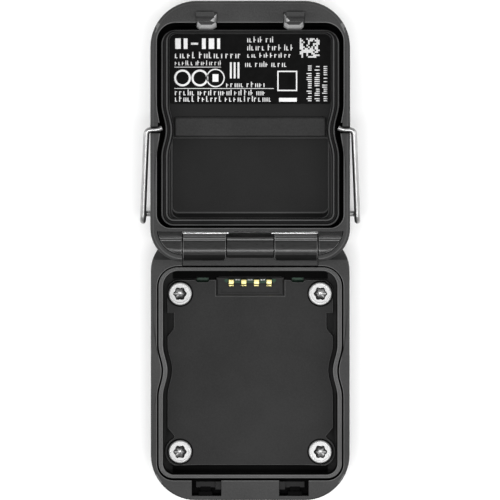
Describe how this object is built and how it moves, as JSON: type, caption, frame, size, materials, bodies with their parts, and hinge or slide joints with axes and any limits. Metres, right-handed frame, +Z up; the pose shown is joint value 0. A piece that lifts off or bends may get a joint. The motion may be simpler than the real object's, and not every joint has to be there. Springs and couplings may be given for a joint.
{
  "type": "wireless bodypack transmitter",
  "caption": "Pocket radio transmitter with a hinged battery lid lying open, sliding latches, a wire belt clip and sprung battery contacts.",
  "frame": {"origin": "centre of the overall footprint, on the plane the base half's front face rests on", "axes": "+Z up out of the open battery bay; +Y from the base half toward the far end of the open lid; +X to the right when the bay is looked into with the lid away"},
  "size_m": [0.0522, 0.1178, 0.0181],
  "materials": {
    "housing": "dark grey, fine grained",
    "tray": "charcoal, moulded",
    "liner": "near black, moulded",
    "black_plastic": "black, moulded",
    "label": "gloss black with white print",
    "rubber": "black, soft",
    "steel": "bright",
    "dark_metal": "dark, satin",
    "gold": "gold plated",
    "board": "green solder resist",
    "lens": "clear, smoked",
    "key": "mid grey, moulded"
  },
  "bodies": {
    "base": {"base_housing": "housing", "battery_tray": "tray", "tray_screw_1": "steel", "tray_screw_2": "steel", "tray_screw_3": "steel", "tray_screw_4": "steel", "contact_block": "black_plastic", "contact_spring_1": "gold", "contact_spring_2": "gold", "contact_spring_3": "gold", "contact_spring_4": "gold", "main_board": "board", "radio_shield": "steel", "hinge_bracket": "dark_metal", "display_module": "lens", "display_window": "label", "key_mat": "rubber", "signal_lens": "lens", "battery_lens": "lens", "aerial_socket": "gold", "aerial_insulator": "key", "audio_socket_shell": "steel", "audio_socket_insert": "black_plastic", "audio_pin_1": "gold", "audio_pin_2": "gold", "audio_pin_3": "gold"},
    "lid": {"lid_shell": "housing", "lid_liner": "liner", "lid_seal": "rubber", "type_label": "label", "pressure_bar": "liner", "hook_left": "dark_metal", "hook_right": "dark_metal", "hinge_leaf_left": "dark_metal", "hinge_leaf_right": "dark_metal", "hinge_pin": "steel"},
    "clip": {"belt_clip": "steel"},
    "left_latch": {"latch_left": "key"},
    "right_latch": {"latch_right": "key"},
    "down_key": {"key_down": "key"},
    "set_key": {"key_set": "key"},
    "up_key": {"key_up": "key"},
    "on_key": {"power_key": "key"}
  },
  "joints": [
    {"name": "lid_hinge", "type": "hinge", "parent": "base", "child": "lid", "pos_m": [0, 0.0004, 0.014], "axis": [1, 0, 0], "range_deg": [0, 180]},
    {"name": "clip_pivot", "type": "hinge", "parent": "lid", "child": "clip", "pos_m": [0, 0.0285, 0.0146], "axis": [1, 0, 0], "range_deg": [0, 20], "stiffness_Nm_per_rad": 0.05, "springref_deg": -11.46},
    {"name": "latch_left_slide", "type": "slide", "parent": "base", "child": "left_latch", "axis": [-1, 0, 0], "range_m": [0, 0.001]},
    {"name": "latch_right_slide", "type": "slide", "parent": "base", "child": "right_latch", "axis": [1, 0, 0], "range_m": [0, 0.001]},
    {"name": "key_down_press", "type": "slide", "parent": "base", "child": "down_key", "axis": [0, 0, 1], "range_m": [0, 0.0004], "stiffness_N_per_m": 300, "springref_m": -0.0005},
    {"name": "key_set_press", "type": "slide", "parent": "base", "child": "set_key", "axis": [0, 0, 1], "range_m": [0, 0.0004], "stiffness_N_per_m": 300, "springref_m": -0.0005},
    {"name": "key_up_press", "type": "slide", "parent": "base", "child": "up_key", "axis": [0, 0, 1], "range_m": [0, 0.0004], "stiffness_N_per_m": 300, "springref_m": -0.0005},
    {"name": "power_key_press", "type": "slide", "parent": "base", "child": "on_key", "axis": [0, 0, 1], "range_m": [0, 0.0004], "stiffness_N_per_m": 300, "springref_m": -0.0005}
  ]
}
